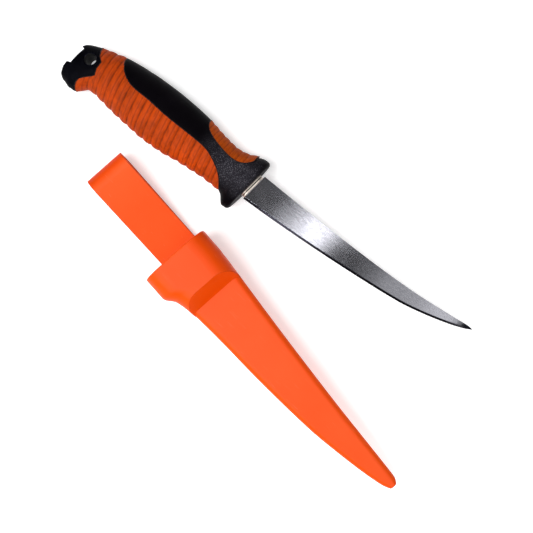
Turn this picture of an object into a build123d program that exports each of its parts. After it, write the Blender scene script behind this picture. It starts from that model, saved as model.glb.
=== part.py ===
# Fillet knife with a soft ribbed grip, and its moulded sheath taken off and laid beside it
from build123d import *
import os
from math import asin, atan2, ceil, cos, degrees, hypot, radians, sin, tan

os.makedirs("parts", exist_ok=True)

# Sizes are in millimetres and degrees. The sheath's length runs along +X, with the mouth at its rear
# end. The knife's blade points the same way, turned a little, with its spine towards +Y.

# Blade and hidden tang
blade_length = 153.1
blade_height = 18.15
blade_thickness = 2.0
blade_tip_thickness = 0.9
bevel_height = 1.4
bevel_thickness = 1.1
edge_thickness = 0.24
tang_length = 96.0
tang_height = 12.0
tang_end_height = 8.0
tang_hole_diameter = 5.0

# Collar between the blade's shoulder and the guard
collar_height = 16.2
collar_thickness = 9.0
collar_corner = 3.4
collar_depth = 2.2
collar_groove_width = 0.5
collar_groove_depth = 0.35
collar_clearance = 0.1

# Handle
handle_length = 130.5
handle_height = 35.4
handle_thickness = 25.0
guard_slant = 7.5
guard_edge_radius = 2.0
grip_skin = 2.2
rib_pitch = 6.1
rib_lean = 8.0
rib_height = 0.7
thumb_rib_pitch = 4.6
thumb_rib_height = 0.4
lanyard_hole_diameter = 7.5
lanyard_wall = 1.2
tenon_wall = 1.2
butt_wall = 1.0
tenon_length = 26.0
tenon_thickness = 7.0

# Sheath
sheath_length = 183.1
throat_height = 43.3
throat_thickness = 30.4
throat_wall = 2.0
pocket_thickness = 9.4
pocket_end_thickness = 7.6
pocket_wall = 1.5
rim_radius = 0.6

# Belt strap and its rivets
strap_width = 26.0
strap_thickness = 2.8
strap_offset = 2.0
strap_reach = 68.7
strap_lap = 24.0
strap_root = 3.0
strap_layer_gap = 0.15
strap_fold_radius = 7.5
strap_bend_radius = 12.0
rivet_spacing = 11.0
rivet_inset = 10.0
rivet_diameter = 3.5
rivet_head_diameter = 7.0
rivet_head_thickness = 0.5
rivet_recess = 0.3
rivet_clearance = 0.1

# How the two lie beside each other
knife_turn = 11.1
guard_from_mouth = -2.3
knife_from_sheath = 60.15

# One overrun serves every cut that has to pass through
overrun = 5.0

# Handle outline, from the guard's face to past the butt: distance as a share of the handle's length,
# top and bottom as shares of its height, thickness as a share of its thickness, and the share of the
# guard's slant that the section leans by
handle_shares = [
    (0.0, 0.477, -0.548, 0.976, 1.0),
    (0.017, 0.489, -0.562, 1.02, 1.0),
    (0.032, 0.489, -0.565, 1.028, 1.0),
    (0.049, 0.472, -0.520, 0.976, 1.0),
    (0.070, 0.429, -0.449, 0.888, 0.8),
    (0.101, 0.384, -0.393, 0.792, 0.5),
    (0.149, 0.359, -0.390, 0.752, 0.0),
    (0.194, 0.376, -0.387, 0.784, 0.0),
    (0.239, 0.401, -0.401, 0.832, 0.0),
    (0.330, 0.466, -0.429, 0.928, 0.0),
    (0.420, 0.497, -0.475, 0.984, 0.0),
    (0.523, 0.511, -0.489, 1.0, 0.0),
    (0.601, 0.506, -0.469, 0.996, 0.0),
    (0.691, 0.482, -0.441, 0.960, 0.0),
    (0.782, 0.438, -0.395, 0.880, 0.0),
    (0.827, 0.395, -0.376, 0.836, 0.0),
    (0.850, 0.373, -0.393, 0.812, 0.0),
    (0.872, 0.350, -0.477, 0.792, 0.0),
    (0.895, 0.331, -0.542, 0.772, 0.0),
    (0.917, 0.299, -0.548, 0.752, 0.0),
    (0.962, 0.226, -0.511, 0.700, 0.0),
    (1.010, 0.113, -0.438, 0.640, 0.0),
    (1.055, -0.006, -0.363, 0.580, 0.0),
]

# Swell of a rib from one valley to the next, as shares of its height
rib_swell_shares = [-0.5, 0.25, 0.5, 0.25]

# Edge between the black side panel and the ribbed grip, from above the spine to below the belly
panel_edge_shares = [
    (0.800, 0.600),
    (0.785, 0.401),
    (0.749, 0.215),
    (0.694, 0.099),
    (0.594, 0.068),
    (0.497, 0.040),
    (0.393, 0.028),
    (0.303, 0.023),
    (0.241, -0.003),
    (0.187, -0.088),
    (0.142, -0.195),
    (0.110, -0.342),
    (0.080, -0.640),
]

# Edge of the thumb grip, from behind its rear end to in front of its front end
thumb_edge_shares = [
    (0.311, 0.600),
    (0.300, 0.319),
    (0.241, 0.212),
    (0.174, 0.158),
    (0.115, 0.150),
    (0.074, 0.215),
    (0.050, 0.325),
    (0.042, 0.424),
    (0.035, 0.600),
]

# Front edge of the pommel cap: straight facets on the upper half, then a curve round the heel
pommel_facet_shares = [
    (0.915, 0.600),
    (0.903, 0.297),
    (0.877, 0.153),
    (0.851, 0.085),
    (0.851, -0.040),
    (0.841, -0.147),
]
pommel_heel_shares = [
    (0.841, -0.147),
    (0.863, -0.226),
    (0.884, -0.308),
    (0.897, -0.407),
    (0.892, -0.500),
    (0.872, -0.640),
]

# Butt end with its two lips and the shallow notch between them
butt_shares = [
    (0.935, 0.600),
    (0.957, 0.224),
    (0.969, 0.178),
    (0.972, 0.113),
    (0.957, 0.100),
    (0.964, -0.212),
    (0.981, -0.235),
    (0.985, -0.330),
    (0.980, -0.452),
    (0.962, -0.520),
    (0.925, -0.640),
]

# Blade outline: distance as a share of its length, spine and edge as shares of its height
blade_shares = [
    (0.0, 0.501, -0.499),
    (0.07, 0.482, -0.485),
    (0.19, 0.452, -0.441),
    (0.32, 0.430, -0.380),
    (0.47, 0.424, -0.287),
    (0.59, 0.433, -0.196),
    (0.71, 0.468, -0.083),
    (0.765, 0.496, 0.003),
    (0.84, 0.556, 0.154),
    (0.92, 0.623, 0.353),
    (0.957, 0.661, 0.468),
    (0.98, 0.678, 0.551),
    (1.0, 0.667, 0.645),
]
bevel_height_share = 0.4

# Sheath outline: distance as a share of its length, upper and lower side as shares of the throat's height
throat_shares = [
    (0.0, 0.5, -0.5),
    (0.080, 0.5, -0.5),
    (0.096, 0.492, -0.457),
    (0.112, 0.490, -0.402),
    (0.128, 0.485, -0.379),
    (0.160, 0.473, -0.351),
    (0.192, 0.464, -0.335),
]
pocket_shares = [
    (0.128, 0.485, -0.379),
    (0.192, 0.464, -0.335),
    (0.319, 0.418, -0.298),
    (0.446, 0.376, -0.275),
    (0.574, 0.338, -0.238),
    (0.701, 0.303, -0.189),
    (0.797, 0.283, -0.125),
    (0.893, 0.263, -0.048),
    (0.957, 0.249, 0.016),
    (0.985, 0.240, 0.054),
    (1.0, 0.205, 0.095),
]

# Corner radii of the throat and the pocket as shares of their smaller side, and the two ends of the
# scoop between them as shares of the sheath's length
throat_corner_share = 0.395
pocket_corner_share = 0.445
scoop_start_share = 0.134
scoop_end_share = 0.177


# Frames. The sheath's middle plane is level, above both layers of the strap. The knife lies on its side.
sheath_level = 2 * strap_thickness + strap_layer_gap + throat_thickness / 2
knife_level = (handle_thickness + rib_height) / 2
knife = Plane(
    origin=(guard_from_mouth, knife_from_sheath, knife_level),
    x_dir=(cos(radians(knife_turn)), sin(radians(knife_turn)), 0),
    z_dir=(0, 0, 1),
)


def across_knife(x, lean=0):
    """Plane across the knife at x, its local x up towards the spine and leaning back by lean."""
    return Plane(knife.location * Pos(x, 0, 0) * Rot(0, 0, lean) * Plane.YZ.location)


def across_sheath(x):
    """Plane across the sheath at x, its local x towards +Y and its local y up."""
    return Plane(origin=(x, 0, sheath_level), x_dir=(0, 1, 0), z_dir=(1, 0, 0))


def on_handle(shares):
    """Points of an edge drawn on the handle's side."""
    return [(-x * handle_length, y * handle_height) for x, y in shares]


def slope_at(shares, row, column):
    """Slope of a smooth curve at a row, level where the rows turn back, so that it never swings past them."""
    slopes = []
    for near, far in zip(shares[max(row - 1, 0) : row + 1], shares[max(row, 1) : row + 2]):
        slopes.append((far[column] - near[column]) / (far[0] - near[0]))
    before, after = slopes[0], slopes[-1]
    if before * after <= 0:
        return 0
    return 2 * before * after / (before + after)


def share_at(shares, along, column):
    """Smooth curve through one column of a table of shares, at the distance along."""
    row = 0
    while row < len(shares) - 2 and along > shares[row + 1][0]:
        row += 1
    span = shares[row + 1][0] - shares[row][0]
    part = (along - shares[row][0]) / span
    rise = shares[row + 1][column] - shares[row][column]
    start_bend = slope_at(shares, row, column) * span - rise
    end_bend = rise - slope_at(shares, row + 1, column) * span
    bend = start_bend * (1 - part) + end_bend * part
    return shares[row][column] + part * rise + part * (1 - part) * bend


def finer(shares):
    """Table of shares with one more row, on the smooth curve, in the middle between each two rows."""
    rows = [shares[0]]
    for near, far in zip(shares, shares[1:]):
        middle = (near[0] + far[0]) / 2
        rows.append((middle, *[share_at(shares, middle, column) for column in range(1, len(near))]))
        rows.append(far)
    return rows


def smooth_form(inset, first, last):
    """Handle form through the rows from first to last, shrunk all round by inset."""
    with BuildPart() as form:
        for x, top, bottom, thick, slant in finer(handle_shares[first : last + 1]):
            radius = (top - bottom) / 2 * handle_height - inset
            middle = (top + bottom) / 2 * handle_height
            with BuildSketch(across_knife(-x * handle_length, -slant * guard_slant)):
                with Locations((middle, 0)):
                    Ellipse(radius, thick / 2 * handle_thickness - inset)
        loft()
    return form.part


def outline_at(x, column):
    """One column of the handle's table at the distance x behind the guard."""
    return share_at(handle_shares, x / handle_length, column)


def ribbed_form(front, rear, pitch, height, lean):
    """Handle form whose surface swells into rounded ribs with narrow valleys between them."""
    turns = len(rib_swell_shares)
    steps = ceil((rear - front) / pitch) * turns
    with BuildPart() as form:
        for step in range(steps + 1):
            x = front + step * pitch / turns
            swell = height * rib_swell_shares[step % turns]
            top_x = x + outline_at(x, 1) * handle_height * tan(radians(lean))
            bottom_x = x + outline_at(x, 2) * handle_height * tan(radians(lean))
            top = outline_at(top_x, 1) * handle_height / cos(radians(lean))
            bottom = outline_at(bottom_x, 2) * handle_height / cos(radians(lean))
            with BuildSketch(across_knife(-x, lean)):
                with Locations(((top + bottom) / 2, 0)):
                    thick = outline_at(x, 3) / 2 * handle_thickness
                    Ellipse((top - bottom) / 2 + swell, thick + swell)
        loft(ruled=True)
    return form.part


def side_prism(edge):
    """Prism through the whole handle over the closed edge drawn on its side."""
    with BuildPart() as prism:
        with BuildSketch(knife):
            add(edge)
            make_face()
        extrude(amount=handle_thickness, both=True)
    return prism.part


# Reach of the prisms beyond the handle's outline
above = panel_edge_shares[0][1] * handle_height
below = panel_edge_shares[-1][1] * handle_height
behind = -handle_shares[-1][0] * handle_length - overrun

with BuildLine() as grip_edge:
    panel_edge = Spline(*on_handle(panel_edge_shares))
    heel_edge = Spline(*on_handle(pommel_heel_shares))
    facet_edge = Polyline(*on_handle(pommel_facet_shares))
    Line(panel_edge @ 1, heel_edge @ 1)
    Line(panel_edge @ 0, facet_edge @ 0)
grip_region = side_prism(grip_edge.line)

with BuildLine() as pommel_edge:
    heel_edge = Spline(*on_handle(pommel_heel_shares))
    facet_edge = Polyline(*on_handle(pommel_facet_shares))
    Polyline(heel_edge @ 1, (behind, below), (behind, above), facet_edge @ 0)
pommel_region = side_prism(pommel_edge.line)

with BuildLine() as thumb_edge:
    pad_edge = Spline(*on_handle(thumb_edge_shares))
    Line(pad_edge @ 1, pad_edge @ 0)
thumb_region = side_prism(thumb_edge.line)

with BuildLine() as butt_edge:
    end_edge = Polyline(*on_handle(butt_shares))
    Polyline(end_edge @ 1, (0, below), (0, above), end_edge @ 0)
butt_region = side_prism(butt_edge.line)

# Whole outer form of the handle, rounded at the guard's front, and what lies under the two soft pieces
with BuildPart() as outline:
    add(smooth_form(0, 0, len(handle_shares) - 1))
    fillet(outline.faces().sort_by(Axis.X)[-1].edges(), guard_edge_radius)
outer_form = outline.part
under_grips = smooth_form(grip_skin, 2, 19)

# Places along the knife that several pieces share
heel = collar_depth / cos(radians(guard_slant))
lanyard_radius = lanyard_hole_diameter / 2
eye_radius = lanyard_radius + lanyard_wall
lanyard_x = eye_radius + tenon_wall + butt_wall - butt_shares[4][0] * handle_length
lanyard_y = (pommel_facet_shares[4][1] + pommel_facet_shares[3][1]) / 2 * handle_height
rivet_x = strap_lap - rivet_inset

# Flat tang, from the blade's shoulder back into the core, with two holes that lock it in the moulding
with BuildPart() as tang:
    with BuildSketch(knife):
        with BuildLine():
            lean = tan(radians(guard_slant))
            Polyline(
                (heel + tang_height / 2 * lean, tang_height / 2),
                (heel - tang_height / 2 * lean, -tang_height / 2),
                (-tang_length, -tang_end_height / 2),
                (-tang_length, tang_end_height / 2),
                close=True,
            )
        make_face()
        with Locations((-tang_length / 3, 0), (-tang_length * 5 / 6, 0)):
            Circle(tang_hole_diameter / 2, mode=Mode.SUBTRACT)
    extrude(amount=blade_thickness / 2, both=True)

# Ground blade: each section has the flat spine, two flats that thin towards the edge, and the bevel
with BuildPart() as blade:
    for along, spine_share, edge_share in finer(blade_shares):
        spine = spine_share * blade_height
        edge = edge_share * blade_height
        taper = 1 - along * (1 - blade_tip_thickness / blade_thickness)
        bevel = edge + min(bevel_height, bevel_height_share * (spine - edge))
        spine_half = blade_thickness / 2 * taper
        bevel_half = bevel_thickness / 2 * taper
        edge_half = edge_thickness / 2
        slant = -guard_slant * max(0, 1 - along / blade_shares[2][0])
        with BuildSketch(across_knife(heel + along * blade_length, slant)):
            with BuildLine():
                Polyline(
                    (spine, spine_half),
                    (spine, -spine_half),
                    (bevel, -bevel_half),
                    (edge, -edge_half),
                    (edge, edge_half),
                    (bevel, bevel_half),
                    close=True,
                )
            make_face()
    loft(ruled=True)
    add(tang.part)

# Collar: a grooved plate clamped between the blade's shoulder and the guard's face. The tang crosses
# it at the guard's slant, so its slot is that much taller.
slant_drift = collar_depth * sin(radians(guard_slant))
collar_slot_height = tang_height / cos(radians(guard_slant)) + 2 * (slant_drift + collar_clearance)
with BuildPart() as bolster_collar:
    with BuildSketch(across_knife(0, -guard_slant)):
        RectangleRounded(collar_height, collar_thickness, collar_corner)
        Rectangle(
            collar_slot_height,
            blade_thickness + 2 * collar_clearance,
            mode=Mode.SUBTRACT,
        )
    extrude(amount=collar_depth)
    groove_start = (collar_depth - collar_groove_width) / 2
    with BuildSketch(across_knife(0, -guard_slant).offset(groove_start)):
        Rectangle(collar_height + overrun, collar_thickness + overrun)
        RectangleRounded(
            collar_height - 2 * collar_groove_depth,
            collar_thickness - 2 * collar_groove_depth,
            collar_corner - collar_groove_depth,
            mode=Mode.SUBTRACT,
        )
    extrude(amount=collar_groove_width, mode=Mode.SUBTRACT)

# Paddle tenon at the rear of the core, with an eye that the pommel cap is locked through
with BuildPart() as tenon:
    with BuildSketch(knife):
        with Locations((lanyard_x, lanyard_y)):
            Circle(eye_radius + tenon_wall)
        with Locations((lanyard_x + tenon_length / 2, lanyard_y)):
            Rectangle(tenon_length, 2 * (eye_radius + tenon_wall))
        with Locations((lanyard_x, lanyard_y)):
            Circle(eye_radius, mode=Mode.SUBTRACT)
    extrude(amount=tenon_thickness / 2, both=True)

# Core: guard, neck, side panels and the body under the soft grip, moulded round the tang
with BuildPart() as handle_core:
    add(outer_form)
    add(grip_region, mode=Mode.SUBTRACT)
    add(thumb_region, mode=Mode.SUBTRACT)
    add(under_grips)
    add(pommel_region, mode=Mode.SUBTRACT)
    add(tenon.part)
    add(tang.part, mode=Mode.SUBTRACT)

# Soft grip over the belly and round the rear, ribbed across the hand
rib_front = handle_shares[4][0] * handle_length
rib_rear = handle_shares[15][0] * handle_length
belly_ribs = ribbed_form(rib_front, rib_rear, rib_pitch, rib_height, rib_lean)
low_drift = -below * tan(radians(rib_lean))
high_drift = -above * tan(radians(rib_lean))
with BuildLine() as rib_edge:
    Polyline(
        (-rib_front + high_drift, above),
        (-rib_front + low_drift, below),
        (-rib_rear + low_drift, below),
        (-rib_rear + high_drift, above),
        close=True,
    )
with BuildPart() as grip_overmould:
    add(outer_form)
    add(side_prism(rib_edge.line), mode=Mode.SUBTRACT)
    add(belly_ribs)
    add(grip_region, mode=Mode.INTERSECT)
    add(under_grips, mode=Mode.SUBTRACT)

# Thumb grip: a ribbed soft pad let into the spine behind the guard
pad_front = handle_shares[3][0] * handle_length
pad_rear = handle_shares[9][0] * handle_length
thumb_ribs = ribbed_form(pad_front, pad_rear, thumb_rib_pitch, thumb_rib_height, 0)
with BuildPart() as thumb_grip:
    add(thumb_ribs)
    add(thumb_region, mode=Mode.INTERSECT)
    add(under_grips, mode=Mode.SUBTRACT)

# Pommel cap over the tenon, with the lanyard hole through the eye
with BuildPart() as pommel_cap:
    add(outer_form)
    add(pommel_region, mode=Mode.INTERSECT)
    add(butt_region, mode=Mode.INTERSECT)
    add(tenon.part, mode=Mode.SUBTRACT)
    with BuildSketch(knife):
        with Locations((lanyard_x, lanyard_y)):
            Circle(lanyard_radius)
    extrude(amount=handle_thickness, both=True, mode=Mode.SUBTRACT)


def sheath_form(shares, inset, thickness, end_thickness, corner_share, rear, front):
    """Sheath form through the rows of shares, shrunk by inset, its two ends moved by rear and front."""
    first = shares[0][0]
    last = shares[-1][0]
    with BuildPart() as form:
        for along, upper, lower in finer(shares):
            x = along * sheath_length
            if along == first:
                x += rear
            if along == last:
                x += front
            width = (upper - lower) * throat_height
            thick = thickness + (end_thickness - thickness) * (along - first) / (last - first)
            radius = corner_share * min(width, thick)
            with BuildSketch(across_sheath(x)):
                with Locations(((upper + lower) / 2 * throat_height, 0)):
                    RectangleRounded(width - 2 * inset, thick - 2 * inset, radius - inset)
        loft(ruled=True)
    return form.part


def throat_form(inset, rear=0, front=0):
    """Throat: straight from the mouth, then its lower side draws in to the lobe."""
    size = (throat_thickness, throat_thickness, throat_corner_share)
    return sheath_form(throat_shares, inset, *size, rear, front)


def pocket_form(shares, inset, rear=0, front=0):
    """Thin pocket through the rows of shares."""
    size = (pocket_thickness, pocket_end_thickness, pocket_corner_share)
    return sheath_form(shares, inset, *size, rear, front)


def scoop_cut(setback):
    """Two wedges, above and below, that slope the throat down into the pocket, moved back by setback."""
    top = throat_thickness / 2
    slope_start = scoop_start_share * sheath_length - setback
    slope_end = slope_start + top / tan(scoop_angle)
    with BuildPart() as wedges:
        with BuildSketch(sheath_side):
            for side in (1, -1):
                with BuildLine():
                    Polyline(
                        (slope_start, side * top),
                        (slope_end, 0),
                        (slope_end + overrun, 0),
                        (slope_end + overrun, side * (top + overrun)),
                        (slope_start, side * (top + overrun)),
                        close=True,
                    )
                make_face()
        extrude(amount=throat_height, both=True)
    return wedges.part


# Side view of the sheath, its local x along the sheath and its local y up
sheath_side = Plane(origin=(0, 0, sheath_level), x_dir=(1, 0, 0), z_dir=(0, -1, 0))
strap_side = Plane(origin=(0, strap_offset, 0), x_dir=(1, 0, 0), z_dir=(0, -1, 0))
half_turn = 180
scoop_run = (scoop_end_share - scoop_start_share) * sheath_length
scoop_angle = atan2((throat_thickness - pocket_thickness) / 2, scoop_run)

# Hollow of the sheath: the throat that takes the guard, and the thin pocket that takes the blade
with BuildPart() as sheath_hollow:
    add(throat_form(throat_wall, rear=-overrun, front=-throat_wall))
    add(scoop_cut(throat_wall / sin(scoop_angle)), mode=Mode.SUBTRACT)
    add(pocket_form(pocket_shares[:-1], pocket_wall, rear=-overrun, front=-pocket_wall))

# Sheath moulded in one piece, open at the mouth
with BuildPart() as sheath_body:
    add(throat_form(0))
    add(scoop_cut(0), mode=Mode.SUBTRACT)
    add(pocket_form(pocket_shares, 0))
    add(sheath_hollow.part, mode=Mode.SUBTRACT)
    with BuildSketch(Plane.XY):
        with Locations((rivet_x, 0)):
            with GridLocations(0, rivet_spacing, 1, 2):
                Circle(rivet_diameter / 2 + rivet_clearance)
    extrude(amount=sheath_level, mode=Mode.SUBTRACT)
    fillet(sheath_body.edges().group_by(Axis.X)[0], rim_radius)

# Belt strap: one leg under the throat, a round fold at the rear end, and one leg flat on the table
fold_x = strap_fold_radius + strap_thickness / 2 - strap_reach
fold_y = strap_fold_radius + strap_thickness / 2
lower_y = strap_thickness / 2
upper_y = lower_y + strap_thickness + strap_layer_gap
root_distance = hypot(fold_x + strap_root, fold_y - upper_y)
climb = degrees(atan2(fold_y - upper_y, -strap_root - fold_x) + asin(strap_fold_radius / root_distance))
with BuildPart() as belt_strap:
    with BuildSketch(strap_side):
        with BuildLine():
            lower_leg = Line((strap_lap, lower_y), (fold_x, lower_y))
            fold = JernArc(lower_leg @ 1, lower_leg % 1, strap_fold_radius, -(climb + half_turn))
            FilletPolyline(fold @ 1, (-strap_root, upper_y), (strap_lap, upper_y), radius=strap_bend_radius)
        trace(line_width=strap_thickness)
    extrude(amount=strap_width / 2, both=True)
    with BuildSketch(Plane.XY):
        with Locations((rivet_x, 0)):
            with GridLocations(0, rivet_spacing, 1, 2):
                Circle(rivet_diameter / 2 + rivet_clearance)
    extrude(amount=upper_y + strap_thickness, mode=Mode.SUBTRACT)
    with BuildSketch(Plane.XY):
        with Locations((rivet_x, 0)):
            with GridLocations(0, rivet_spacing, 1, 2):
                Circle(rivet_head_diameter / 2 + rivet_clearance)
    extrude(amount=rivet_recess + rivet_head_thickness, mode=Mode.SUBTRACT)

# Two rivets through both layers of the strap and the throat's rear wall, a thin head inside the throat
inner_floor = sheath_level - throat_thickness / 2 + throat_wall
with BuildPart() as strap_rivets:
    with BuildSketch(Plane.XY.offset(rivet_recess)):
        with Locations((rivet_x, 0)):
            with GridLocations(0, rivet_spacing, 1, 2):
                Circle(rivet_diameter / 2)
    extrude(amount=inner_floor - rivet_recess)
    with BuildSketch(Plane.XY.offset(rivet_recess), Plane.XY.offset(inner_floor)):
        with Locations((rivet_x, 0)):
            with GridLocations(0, rivet_spacing, 1, 2):
                Circle(rivet_head_diameter / 2)
    extrude(amount=rivet_head_thickness)

# The origin is on the table, under the middle of the whole
pieces = [
    blade,
    bolster_collar,
    handle_core,
    grip_overmould,
    thumb_grip,
    pommel_cap,
    sheath_body,
    belt_strap,
    strap_rivets,
]
whole = Compound([piece.part for piece in pieces]).bounding_box()
origin = Location((-whole.center().X, -whole.center().Y, -whole.min.Z))
for piece in pieces:
    piece.part.move(origin)

blade.part.label = "blade"
export_step(blade.part, "parts/blade.step")
bolster_collar.part.label = "bolster_collar"
export_step(bolster_collar.part, "parts/bolster_collar.step")
handle_core.part.label = "handle_core"
export_step(handle_core.part, "parts/handle_core.step")
grip_overmould.part.label = "grip_overmould"
export_step(grip_overmould.part, "parts/grip_overmould.step")
thumb_grip.part.label = "thumb_grip"
export_step(thumb_grip.part, "parts/thumb_grip.step")
pommel_cap.part.label = "pommel_cap"
export_step(pommel_cap.part, "parts/pommel_cap.step")
sheath_body.part.label = "sheath_body"
export_step(sheath_body.part, "parts/sheath_body.step")
belt_strap.part.label = "belt_strap"
export_step(belt_strap.part, "parts/belt_strap.step")
strap_rivets.part.label = "strap_rivets"
export_step(strap_rivets.part, "parts/strap_rivets.step")

lanyard = origin.position + knife.from_local_coords((lanyard_x, lanyard_y, 0))
print("origin moved by", origin.position)
print("lanyard hole's axis at", lanyard)
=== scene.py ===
from math import atan, cos, pi, radians, sin, tan

import bmesh
import bpy
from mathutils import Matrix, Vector


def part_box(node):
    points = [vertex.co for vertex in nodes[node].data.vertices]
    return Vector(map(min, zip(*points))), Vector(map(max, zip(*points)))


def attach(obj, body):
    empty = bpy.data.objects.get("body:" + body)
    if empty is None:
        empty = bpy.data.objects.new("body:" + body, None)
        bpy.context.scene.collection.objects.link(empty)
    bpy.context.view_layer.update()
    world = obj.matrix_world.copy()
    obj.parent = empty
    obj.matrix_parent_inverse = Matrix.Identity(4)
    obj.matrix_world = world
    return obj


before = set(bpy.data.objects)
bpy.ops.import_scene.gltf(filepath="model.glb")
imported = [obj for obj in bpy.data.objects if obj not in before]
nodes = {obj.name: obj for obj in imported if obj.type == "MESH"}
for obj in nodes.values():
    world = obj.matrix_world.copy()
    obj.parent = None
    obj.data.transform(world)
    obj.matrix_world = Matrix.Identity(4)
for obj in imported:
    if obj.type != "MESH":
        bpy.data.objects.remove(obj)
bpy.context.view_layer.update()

# Lengths are in metres. The sheath lies along +X, and the knife is turned a little towards +Y.
MM = 0.001

# Where the knife lies: the collar's middle is half its depth in front of the guard's slanted face
KNIFE_TURN = radians(11.1)
GUARD_SLANT = radians(7.5)
COLLAR_DEPTH = 2.2 * MM
collar_low, collar_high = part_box("bolster_collar")
collar_turn = KNIFE_TURN - GUARD_SLANT
collar_axis = Vector((cos(collar_turn), sin(collar_turn), 0.0))
guard_face = (collar_low + collar_high) / 2 - collar_axis * COLLAR_DEPTH / 2
knife_level = guard_face.z

# Sizes of the handle that the materials follow: rib spacing, first valley behind the guard, and lean
RIB_PITCH = 6.1 * MM
RIB_FRONT = 9.13 * MM
RIB_LEAN = radians(8.0)
PAD_PITCH = 4.6 * MM
PAD_FRONT = 6.39 * MM

# Camera: straight down over the middle of the photographed frame, whose width holds at frame level
CAMERA_HEIGHT = 450 * MM
FRAME_WIDTH = 314.5 * MM
FRAME_LEVEL = 13.5 * MM
FRAME_OFFSET_X = 41.99 * MM
FRAME_OFFSET_Y = -24.81 * MM
CAMERA_ROLL = radians(48.6)

camera_data = bpy.data.cameras.new("camera")
camera_data.sensor_width = 36.0
camera_data.angle = 2 * atan(FRAME_WIDTH / 2 / (CAMERA_HEIGHT - FRAME_LEVEL))
camera = bpy.data.objects.new("camera", camera_data)
camera.location = (guard_face.x + FRAME_OFFSET_X, guard_face.y + FRAME_OFFSET_Y, CAMERA_HEIGHT)
camera.rotation_euler = (0.0, 0.0, CAMERA_ROLL)
bpy.context.scene.collection.objects.link(camera)
bpy.context.scene.camera = camera


def colour(red, green, blue):
    """Linear colour of an 8-bit display colour."""
    values = []
    for value in (red, green, blue):
        value /= 255
        values.append(value / 12.92 if value <= 0.04045 else ((value + 0.055) / 1.055) ** 2.4)
    return (*values, 1.0)


class Nodes:
    """Node tree of a new material, with short calls for the nodes used here."""

    def __init__(self, name):
        self.material = bpy.data.materials.new(name)
        self.material.use_nodes = True
        self.tree = self.material.node_tree
        self.shader = self.tree.nodes["Principled BSDF"]
        texture = self.tree.nodes.new("ShaderNodeTexCoord").outputs
        self.coords = texture["Object"]
        self.facing = texture["Normal"]

    def new(self, kind, inputs=(), **settings):
        node = self.tree.nodes.new(kind)
        for key, value in settings.items():
            setattr(node, key, value)
        for key, value in dict(inputs).items():
            self.link(node, key, value)
        return node

    def link(self, node, key, value):
        """Gives a node's input a value, or the output that feeds it."""
        if isinstance(value, bpy.types.NodeSocket):
            self.tree.links.new(value, node.inputs[key])
        else:
            node.inputs[key].default_value = value

    def place(self, stretch=(1, 1, 1), turn=0.0, origin=(0, 0, 0)):
        """Coordinates in metres from an origin, along axes turned about Z, shrunk along each by stretch."""
        inputs = {
            "Vector": self.coords,
            "Location": origin,
            "Rotation": (0.0, 0.0, turn),
            "Scale": stretch,
        }
        return self.new("ShaderNodeMapping", inputs, vector_type="TEXTURE").outputs["Vector"]

    def noise(self, size, detail=2.0, where=None):
        """Noise whose lumps are about size metres across."""
        inputs = {"Vector": where or self.coords, "Scale": 1 / size, "Detail": detail}
        return self.new("ShaderNodeTexNoise", inputs).outputs["Fac"]

    def ramp(self, value, *stops):
        """Colour ramp through (position, colour) stops."""
        node = self.new("ShaderNodeValToRGB", {"Fac": value})
        node.color_ramp.elements[0].position = stops[0][0]
        node.color_ramp.elements[1].position = stops[-1][0]
        for position, _ in stops[1:-1]:
            node.color_ramp.elements.new(position)
        for element, (_, tone) in zip(node.color_ramp.elements, stops):
            element.color = tone
        return node.outputs["Color"]

    def span(self, value, low, high, to_low=0.0, to_high=1.0):
        """Value moved from one range to another, and kept inside it."""
        inputs = {"Value": value, "From Min": low, "From Max": high, "To Min": to_low, "To Max": to_high}
        return self.new("ShaderNodeMapRange", inputs, clamp=True).outputs["Result"]

    def maths(self, operation, a, b=0.0):
        return self.new("ShaderNodeMath", {0: a, 1: b}, operation=operation).outputs["Value"]

    def mix(self, factor, a, b):
        """Colour between a, at factor 0, and b, at factor 1."""
        return self.new("ShaderNodeMix", {0: factor, 6: a, 7: b}, data_type="RGBA").outputs[2]

    def axis(self, vector, letter):
        return self.new("ShaderNodeSeparateXYZ", {"Vector": vector}).outputs[letter]

    def rounded(self, radius):
        """Normal that rounds sharp edges over by radius, for the shading alone."""
        return self.new("ShaderNodeBevel", {"Radius": radius}, samples=8).outputs["Normal"]

    def edge_mask(self, radius):
        """1 along sharp edges and 0 on the open surface."""
        flat = self.new("ShaderNodeNewGeometry").outputs["Normal"]
        inputs = {0: self.rounded(radius), 1: flat}
        agreement = self.new("ShaderNodeVectorMath", inputs, operation="DOT_PRODUCT").outputs["Value"]
        return self.span(agreement, 0.99, 0.85)

    def bump(self, height, depth, onto, strength=1.0):
        """Bump of a 0 to 1 height whose full depth is given in metres."""
        inputs = {"Height": height, "Distance": depth, "Strength": strength, "Normal": onto}
        return self.new("ShaderNodeBump", inputs).outputs["Normal"]

    def surface(self, base, roughness, normal, **constants):
        """Feeds the shader, and sets the values that are the same all over on its own sockets."""
        self.link(self.shader, "Base Color", base)
        self.link(self.shader, "Roughness", roughness)
        self.link(self.shader, "Normal", normal)
        for key, value in constants.items():
            self.shader.inputs[key.replace("_", " ")].default_value = value
        return self.material


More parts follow.
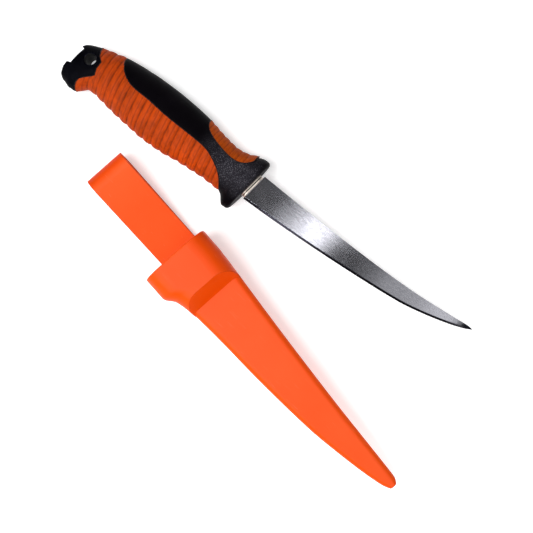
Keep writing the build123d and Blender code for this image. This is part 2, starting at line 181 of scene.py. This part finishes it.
def sheath_plastic(name, lift, line_level=None, fold=None):
    """Satin moulded orange, with faint flow clouds, fine grain and scratches, painted sheen that makes
    level faces paler than the walls, painted shade as a deeper tone along its edges and over a strap's
    fold, and the mould's parting line."""
    m = Nodes(name)
    cloud = m.noise(45 * MM, 3.0)
    # Painted sheen and shade: level faces get a paler, bluer tone standing in for the overhead sheen, walls
    # a deeper tone standing in for their shade.
    wall = m.ramp(cloud, (0.3, colour(246, 77 + lift, 0)), (0.7, colour(252, 84 + lift, 0)))
    level = m.ramp(cloud, (0.3, colour(250, 83 + lift, 29)), (0.7, colour(255, 92 + lift, 40)))
    tone = m.mix(m.span(m.maths("ABSOLUTE", m.axis(m.facing, "Z")), 0.86, 0.99), wall, level)
    # Painted shade: a deeper tone along the rounded edges, where shade falls.
    edge_shade = m.maths("MULTIPLY", m.edge_mask(0.9 * MM), m.span(m.noise(5 * MM, 3.0), 0.35, 0.65, 0.55, 1.0))
    tone = m.mix(edge_shade, tone, colour(200, 58, 2))
    scratches = m.noise(1.0 * MM, 4.0, m.place((14, 1, 1), radians(4)))
    tone = m.mix(m.span(scratches, 0.66, 0.74, 0.0, 0.12), tone, colour(255, 170, 130))
    if fold is not None:
        # Painted shade over the strap's rounded fold end, deepening towards the end.
        along = m.axis(m.coords, "X")
        tone = m.mix(m.span(along, fold + 8 * MM, fold + 1 * MM), tone, colour(226, 62, 0))
    normal = m.bump(m.noise(14 * MM, 1.0), 0.03 * MM, m.rounded(1.0 * MM), 0.5)
    normal = m.bump(m.noise(0.3 * MM, 2.0), 0.008 * MM, normal, 0.6)
    if line_level is not None:
        from_line = m.maths("ABSOLUTE", m.maths("SUBTRACT", m.axis(m.coords, "Z"), line_level))
        normal = m.bump(m.span(from_line, 0.16 * MM, 0.05 * MM), 0.06 * MM, normal, 0.8)
    roughness = m.span(m.noise(1.2 * MM, 3.0), 0.3, 0.7, 0.38, 0.5)
    return m.surface(tone, roughness, normal, Specular_IOR_Level=0.15, IOR=1.38)


def ribbed_grip(name, light, dark, valley, pitch, front, lean, crease):
    """Matt rubbery grip: clouded orange, browner to the rear, with painted shade darkening the valleys
    between its ribs, and a fine crease in each rib at the given share of the pitch, darkened by painted
    shade."""
    m = Nodes(name)
    knife = m.place(turn=KNIFE_TURN, origin=guard_face)
    behind = m.maths("SUBTRACT", m.maths("MULTIPLY", m.axis(knife, "Y"), -tan(lean)), m.axis(knife, "X"))
    turns = m.maths("DIVIDE", m.maths("SUBTRACT", behind, front), pitch)
    from_valley = m.maths("PINGPONG", turns, 0.5)
    from_crease = m.maths("PINGPONG", m.maths("SUBTRACT", turns, crease), 0.5)
    cloud = m.noise(12 * MM, 3.0)
    tone = m.ramp(cloud, (0.3, dark), (0.7, light))
    tone = m.mix(m.span(behind, 60 * MM, 110 * MM, 0.0, 0.4), tone, dark)
    streaks = m.noise(1.6 * MM, 3.0, m.place((1, 6, 1), KNIFE_TURN + lean))
    tone = m.mix(m.span(streaks, 0.45, 0.75, 0.0, 0.5), tone, valley)
    # Painted shade: the valley colour laid into the valleys between the ribs, patchy along the streaks.
    valley_shade = m.maths("MULTIPLY", m.span(from_valley, 0.11, 0.01), m.span(streaks, 0.3, 0.6, 0.35, 0.8))
    tone = m.mix(valley_shade, tone, valley)
    # Painted shade along each rib's crease.
    tone = m.mix(m.maths("MULTIPLY", m.span(from_crease, 0.09, 0.01), 0.4), tone, valley)
    skin = m.noise(0.3 * MM, 3.0)
    normal = m.bump(m.span(from_valley, 0.0, 0.2), 0.12 * MM, m.rounded(0.3 * MM), 0.6)
    normal = m.bump(m.span(from_crease, 0.0, 0.1), 0.1 * MM, normal, 0.6)
    normal = m.bump(skin, 0.014 * MM, normal, 0.8)
    roughness = m.span(skin, 0.3, 0.7, 0.52, 0.66)
    return m.surface(tone, roughness, normal, Specular_IOR_Level=0.25, IOR=1.3)


def core_plastic():
    """Hard black moulding: smooth satin side panels, and a coarse eroded grain on the neck and guard, faded
    out towards the guard's lower lip as painted shade.
    """
    m = Nodes("core_black")
    knife = m.place(turn=KNIFE_TURN, origin=guard_face)
    along = m.axis(knife, "X")
    across = m.axis(knife, "Y")
    coarse = m.span(m.noise(6 * MM, 2.0), 0.3, 0.6, 0.6, 1.0)
    grain_reach_and_shade = (
        m.span(along, -40 * MM, -18 * MM),
        m.span(along, 1 * MM, -1.5 * MM),
        # Painted shade: the grain's grey fades out towards the guard's lower lip.
        m.span(across, -14 * MM, -3 * MM),
        m.span(across, 13 * MM, 5 * MM, 0.2, 1.0),
    )
    for fade in grain_reach_and_shade:
        coarse = m.maths("MULTIPLY", coarse, fade)
    grain = m.noise(0.5 * MM, 2.0)
    base = m.ramp(m.noise(20 * MM, 2.0), (0.3, colour(4, 2, 5)), (0.7, colour(8, 6, 10)))
    worn = m.maths("MULTIPLY", coarse, m.span(grain, 0.54, 0.7, 0.0, 0.6))
    base = m.mix(m.maths("MULTIPLY", coarse, 0.8), base, colour(48, 46, 53))
    base = m.mix(worn, base, colour(132, 130, 138))
    rubbed = m.maths("MULTIPLY", m.edge_mask(0.4 * MM), m.span(m.noise(2 * MM, 3.0), 0.4, 0.6, 0.1, 0.5))
    base = m.mix(rubbed, base, colour(80, 74, 72))
    normal = m.bump(m.noise(0.4 * MM, 3.0), 0.012 * MM, m.rounded(0.4 * MM), 0.6)
    normal = m.bump(m.maths("MULTIPLY", grain, coarse), 0.12 * MM, normal)
    roughness = m.span(m.noise(5 * MM, 3.0), 0.3, 0.7, 0.42, 0.54)
    return m.surface(base, roughness, normal, Specular_IOR_Level=0.14, IOR=1.2)


def pommel_plastic():
    """Blue-black moulding with a fine grain and edges polished by handling."""
    m = Nodes("pommel_black")
    base = m.ramp(m.noise(9 * MM, 3.0), (0.3, colour(2, 2, 5)), (0.7, colour(6, 6, 13)))
    rubbed = m.maths("MULTIPLY", m.edge_mask(0.6 * MM), m.span(m.noise(1.5 * MM, 3.0), 0.4, 0.6, 0.0, 0.3))
    base = m.mix(rubbed, base, colour(56, 58, 76))
    normal = m.bump(m.noise(0.35 * MM, 3.0), 0.012 * MM, m.rounded(0.8 * MM), 0.7)
    roughness = m.span(m.noise(4 * MM, 3.0), 0.3, 0.7, 0.36, 0.5)
    return m.surface(base, roughness, normal, Specular_IOR_Level=0.1, IOR=1.2)


def ground_steel(name, light, dark, roughness, turn, bevel=None):
    """Fine-ground steel: short lines along the given turn about Z over a sandy speckle, a few hairline
    scratches, and a painted dark reflection, a darker tone where a bevel's faces tilt from the level."""
    m = Nodes(name)
    lines = m.noise(0.3 * MM, 4.0, m.place((7, 1, 1), turn))
    speckle = m.noise(0.55 * MM, 5.0)
    mottle = m.maths("ADD", m.maths("MULTIPLY", lines, 0.5), m.maths("MULTIPLY", speckle, 0.5))
    base = m.ramp(mottle, (0.4, dark), (0.6, light))
    if bevel:
        # Painted reflection: the bevel's tilted faces get a dark tone standing in for the dark surroundings
        # they mirror.
        level = m.maths("ABSOLUTE", m.axis(m.facing, "Z"))
        base = m.mix(m.span(level, 0.998, 0.993), base, bevel)
    hairlines = m.noise(0.6 * MM, 5.0, m.place((40, 1, 1), turn + radians(7)))
    normal = m.bump(lines, 0.0012 * MM, m.rounded(0.1 * MM), 0.5)
    normal = m.bump(speckle, 0.003 * MM, normal, 0.5)
    normal = m.bump(m.span(hairlines, 0.62, 0.7), 0.002 * MM, normal, 0.4)
    rough = m.span(m.noise(22 * MM, 3.0), 0.3, 0.7, roughness, roughness + 0.04)
    return m.surface(base, rough, normal, Metallic=1.0, Anisotropic=0.3)


def collar_metal():
    """Pale brushed collar with painted shade: a dark line round its middle standing in for a groove, and a
    darker rim against the guard.
    """
    m = Nodes("collar_pale")
    depth = m.axis(m.place(turn=collar_turn, origin=guard_face), "X")
    from_groove = m.maths("ABSOLUTE", m.maths("SUBTRACT", depth, COLLAR_DEPTH / 2))
    lines = m.noise(0.25 * MM, 3.0, m.place((1, 14, 1), collar_turn))
    base = m.ramp(lines, (0.35, colour(206, 190, 178)), (0.65, colour(246, 234, 222)))
    # Painted shade in a groove round the collar's middle.
    base = m.mix(m.span(from_groove, 0.34 * MM, 0.26 * MM), base, colour(58, 50, 46))
    # Painted shade along the face that meets the guard.
    base = m.mix(m.span(depth, 0.1 * MM, 0.02 * MM), base, colour(70, 62, 58))
    normal = m.bump(lines, 0.003 * MM, m.rounded(0.15 * MM), 0.6)
    return m.surface(base, m.span(m.noise(3 * MM), 0.3, 0.7, 0.34, 0.44), normal, Metallic=0.6)


def seam_rubber():
    """Thin moulded rim where the soft grip meets the hard core."""
    m = Nodes("seam_brown")
    base = m.ramp(m.noise(1.5 * MM, 3.0), (0.35, colour(20, 12, 10)), (0.65, colour(48, 32, 25)))
    normal = m.bump(m.noise(0.3 * MM, 2.0), 0.01 * MM, m.rounded(0.1 * MM))
    return m.surface(base, m.span(m.noise(2 * MM), 0.3, 0.7, 0.5, 0.62), normal, Specular_IOR_Level=0.15)


sheath_middle = sum(corner.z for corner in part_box("sheath_body")) / 2
strap_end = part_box("belt_strap")[0].x
steel_tones = (colour(180, 180, 187), colour(152, 152, 159))
grip_tones = (colour(205, 71, 3), colour(174, 60, 2), colour(104, 36, 4))
pad_tones = (colour(192, 80, 4), colour(168, 66, 2), colour(120, 44, 2))
rivet_tones = (colour(214, 214, 216), colour(180, 180, 184))
finishes = {
    # The blade's bevel tone is a painted dark reflection.
    "blade": ground_steel("blade_steel", *steel_tones, 0.11, KNIFE_TURN, bevel=colour(46, 46, 54)),
    "bolster_collar": collar_metal(),
    "handle_core": core_plastic(),
    "grip_overmould": ribbed_grip("grip_orange", *grip_tones, RIB_PITCH, RIB_FRONT, RIB_LEAN, crease=0.41),
    "thumb_grip": ribbed_grip("pad_orange", *pad_tones, PAD_PITCH, PAD_FRONT, 0.0, crease=0.5),
    "pommel_cap": pommel_plastic(),
    "sheath_body": sheath_plastic("sheath_orange", 0, line_level=sheath_middle),
    "belt_strap": sheath_plastic("strap_orange", 4, fold=strap_end),
    "strap_rivets": ground_steel("rivet_steel", *rivet_tones, 0.3, 0.0),
}
for name, material in finishes.items():
    mesh = nodes[name].data
    mesh.materials.clear()
    mesh.materials.append(material)


# Rims of the soft pieces
WELD = 0.001 * MM
SAME_PLACE = 0.01 * MM
WALL_TILT = 0.02
SKIN_TILT = 0.15
GRIP_RIM_RADIUS = 0.28 * MM
THUMB_RIM_RADIUS = 0.24 * MM
rim_brown = seam_rubber()


def outer_rim(node):
    """Edges where a soft piece's outer skin meets the hard core: a wall across the knife on one side and
    skin that faces away from the knife's middle plane on the other."""
    form = bmesh.new()
    form.from_mesh(nodes[node].data)
    bmesh.ops.remove_doubles(form, verts=form.verts, dist=WELD)
    rim = []
    for edge in form.edges:
        if len(edge.link_faces) != 2:
            continue
        wall, skin = sorted(edge.link_faces, key=lambda face: abs(face.normal.z))
        above = (edge.verts[0].co.z + edge.verts[1].co.z) / 2 - knife_level
        faces_out = skin.normal.z * above > 0 and abs(skin.normal.z) > SKIN_TILT
        if abs(wall.normal.z) < WALL_TILT and faces_out:
            rim.append((edge.verts[0].co.copy(), edge.verts[1].co.copy()))
    form.free()
    return rim


def seam(name, node, radius):
    """Thin rim along the outer edges of a soft piece, on both sides of the knife and clear of the floor."""
    curve = bpy.data.curves.new(name, "CURVE")
    curve.dimensions = "3D"
    curve.bevel_depth = radius
    curve.bevel_resolution = 2
    neighbours = {}
    places = {}
    for ends in outer_rim(node):
        keys = [tuple(round(value / SAME_PLACE) for value in end) for end in ends]
        places.update(zip(keys, ends))
        if keys[0] != keys[1]:
            neighbours.setdefault(keys[0], set()).add(keys[1])
            neighbours.setdefault(keys[1], set()).add(keys[0])
    starts = sorted(neighbours, key=lambda key: (len(neighbours[key]) != 1, key))
    for start in starts:
        chain = [start]
        while neighbours.get(chain[-1]):
            onward = neighbours[chain[-1]].pop()
            neighbours[onward].discard(chain[-1])
            chain.append(onward)
        if len(chain) < 3:
            continue
        line = curve.splines.new("POLY")
        line.points.add(len(chain) - 1)
        for point, key in zip(line.points, chain):
            x, y, z = places[key]
            point.co = (x, y, max(z, radius), 1.0)
    piece = bpy.data.objects.new(name, curve)
    bpy.context.scene.collection.objects.link(piece)
    curve.materials.append(rim_brown)
    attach(piece, "knife")


seam("grip_seam", "grip_overmould", GRIP_RIM_RADIUS)
seam("thumb_seam", "thumb_grip", THUMB_RIM_RADIUS)



def stage_mesh(name, corners, faces, material):
    """Object outside the part, such as the floor, from corners and faces."""
    mesh = bpy.data.meshes.new(name)
    mesh.from_pydata(corners, [], faces)
    mesh.materials.append(material)
    piece = bpy.data.objects.new(name, mesh)
    bpy.context.scene.collection.objects.link(piece)
    return piece


def rectangle(width, depth):
    """Corners of a level rectangle round the origin."""
    x, y = width / 2, depth / 2
    return [(-x, -y, 0), (x, -y, 0), (x, y, 0), (-x, y, 0)]


# Floor and backdrop: plain and pale, white to the camera and to what mirrors them
FLOOR_SIZE = 6.0
FLOOR_GLOW = 0.4
FLOOR_DROP = 0.05 * MM
WALL_RADIUS = 2.9
WALL_HEIGHT = 1.8
WALL_SIDES = 96
pale = Nodes("floor_white")
pale.shader.inputs["Base Color"].default_value = (0.97, 0.97, 0.97, 1.0)
pale.shader.inputs["Roughness"].default_value = 0.9
pale.shader.inputs["Specular IOR Level"].default_value = 0.1
pale.shader.inputs["Emission Color"].default_value = (1.0, 1.0, 1.0, 1.0)
rays = pale.new("ShaderNodeLightPath").outputs
seen = pale.maths("MAXIMUM", rays["Is Camera Ray"], rays["Is Glossy Ray"])
seen = pale.maths("MAXIMUM", seen, rays["Is Transmission Ray"])
pale.link(pale.shader, "Emission Strength", pale.maths("MULTIPLY", seen, FLOOR_GLOW))

floor = stage_mesh("floor", rectangle(FLOOR_SIZE, FLOOR_SIZE), [(0, 1, 2, 3)], pale.material)
floor.location.z = -FLOOR_DROP

turns = [2 * pi * side / WALL_SIDES for side in range(WALL_SIDES)]
ring = [(WALL_RADIUS * cos(turn), WALL_RADIUS * sin(turn)) for turn in turns]
corners = [(x, y, z) for z in (-MM, WALL_HEIGHT) for x, y in ring]
following = [(side + 1) % WALL_SIDES for side in range(WALL_SIDES)]
faces = [(side, side + WALL_SIDES, after + WALL_SIDES, after) for side, after in enumerate(following)]
stage_mesh("backdrop", corners, faces, pale.material).data.shade_smooth()

# Light: soft panels from the front and overhead in an even pale surround
WORLD_LIGHT = 0.34
world = bpy.data.worlds.new("studio")
bpy.context.scene.world = world
world.use_nodes = True
background = world.node_tree.nodes["Background"]
background.inputs["Color"].default_value = (1.0, 1.0, 1.0, 1.0)
background.inputs["Strength"].default_value = WORLD_LIGHT


def panel(name, place, width, depth, glow, target=None):
    """Soft rectangular light, glow times as bright as white, aimed at target or else straight down."""
    data = bpy.data.lights.new(name, "AREA")
    data.shape = "RECTANGLE"
    data.size = width
    data.size_y = depth
    data.energy = glow * pi * width * depth
    lamp = bpy.data.objects.new(name, data)
    lamp.location = place
    aim = Vector(target or (place[0], place[1], 0.0)) - Vector(place)
    lamp.rotation_euler = aim.to_track_quat("-Z", "Y").to_euler()
    bpy.context.scene.collection.objects.link(lamp)


panel("key_light", (-0.1, -1.1, 0.9), 1.0, 0.6, 4.4, (0.0, 0.0, 0.0))
panel("top_light", (-0.1, -0.3, 1.05), 0.6, 0.34, 11.5, (0.0, 0.0, 0.0))
panel("strip_light", (0.039, 0.08, 1.0), 0.05, 0.36, 4.4)
panel("mid_light", (0.25, 0.22, 1.0), 0.11, 0.34, 0.45)
panel("tip_light", (0.43, 0.22, 1.0), 0.26, 0.34, 1.0)

# Dark level cards overhead that the blade mirrors, out of the camera's sight: place, width, depth, turn
shade = Nodes("card_black")
shade.shader.inputs["Base Color"].default_value = (0.01, 0.01, 0.01, 1.0)
shade.shader.inputs["Roughness"].default_value = 0.9
CARDS = {
    "dark_card": ((0.118, 0.1, 1.0), 0.092, 0.5, 0.0),
    "heel_card": ((-0.098, 0.1, 1.0), 0.17, 0.5, 0.0),
    "edge_card": ((0.17, -0.28, 0.99), 0.72, 0.12, radians(53.5)),
}
for name, (place, width, depth, turn) in CARDS.items():
    card = stage_mesh(name, rectangle(width, depth), [(0, 1, 2, 3)], shade.material)
    card.location = place
    card.rotation_euler.z = turn
    card.visible_camera = False

bpy.context.scene.view_settings.view_transform = "Standard"
